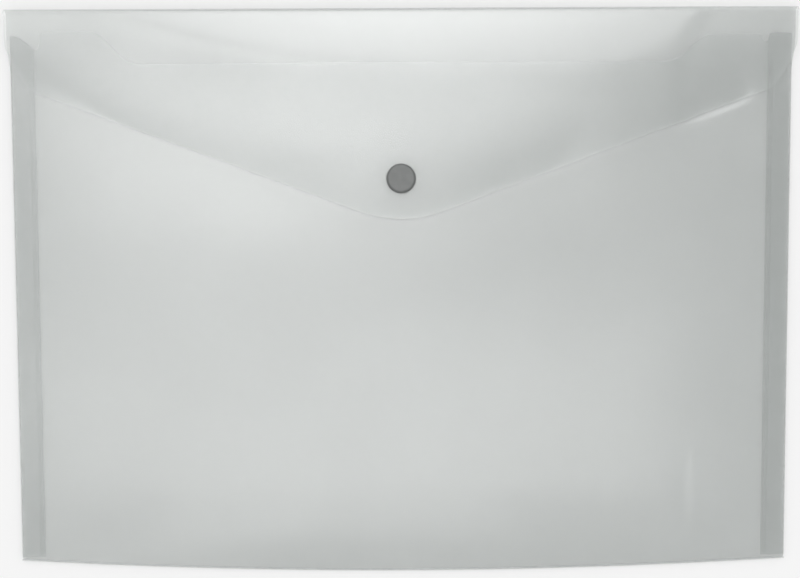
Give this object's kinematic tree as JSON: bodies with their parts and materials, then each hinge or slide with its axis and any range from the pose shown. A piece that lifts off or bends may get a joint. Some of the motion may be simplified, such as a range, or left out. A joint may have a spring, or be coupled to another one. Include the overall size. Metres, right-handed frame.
{
  "type": "document wallet",
  "caption": "Translucent landscape document wallet with a V-shaped flap, a recessed mouth, folded and welded side tabs and a round press stud.",
  "frame": {"origin": "middle of the bounding box's lowest face, on the outer face of the back panel", "axes": "+X to the wallet's right along the top fold, +Y in the back panel's plane towards the top fold, +Z out of the front"},
  "size_m": [0.335, 0.242, 0.0111],
  "materials": {
    "clear_sheet": "translucent frosted polypropylene sheet, fine satin emboss",
    "creased_sheet": "the same sheet where it is creased and folded over",
    "welded_sheet": "the same sheet, fused along the weld",
    "snap_plastic": "dark grey moulded plastic, matt"
  },
  "bodies": {
    "back": {"back_panel": "clear_sheet", "fold_crease": "creased_sheet", "bottom_crease": "creased_sheet", "left_side_tab": "creased_sheet", "right_side_tab": "creased_sheet", "left_weld_seam": "welded_sheet", "right_weld_seam": "welded_sheet"},
    "front": {"front_panel": "clear_sheet", "snap_stud": "snap_plastic", "snap_rear_cap": "snap_plastic"},
    "flap": {"flap": "clear_sheet", "snap_cap": "snap_plastic", "snap_socket": "snap_plastic"}
  },
  "joints": [
    {"name": "flap_hinge", "type": "hinge", "parent": "back", "child": "flap", "pos_m": [0, 0.12085, 0.00215], "axis": [-1, 0, 0], "range_deg": [0, 172], "deforming": ["fold_crease"]},
    {"name": "mouth_opening", "type": "hinge", "parent": "back", "child": "front", "pos_m": [0, -0.12085, 0.00082], "axis": [1, 0, 0], "range_deg": [0, 1.75], "deforming": ["bottom_crease", "left_side_tab", "right_side_tab"]}
  ],
  "couplings": [
    {"joint": "mouth_opening", "follows": "flap_hinge", "ratio": 0.010174}
  ]
}
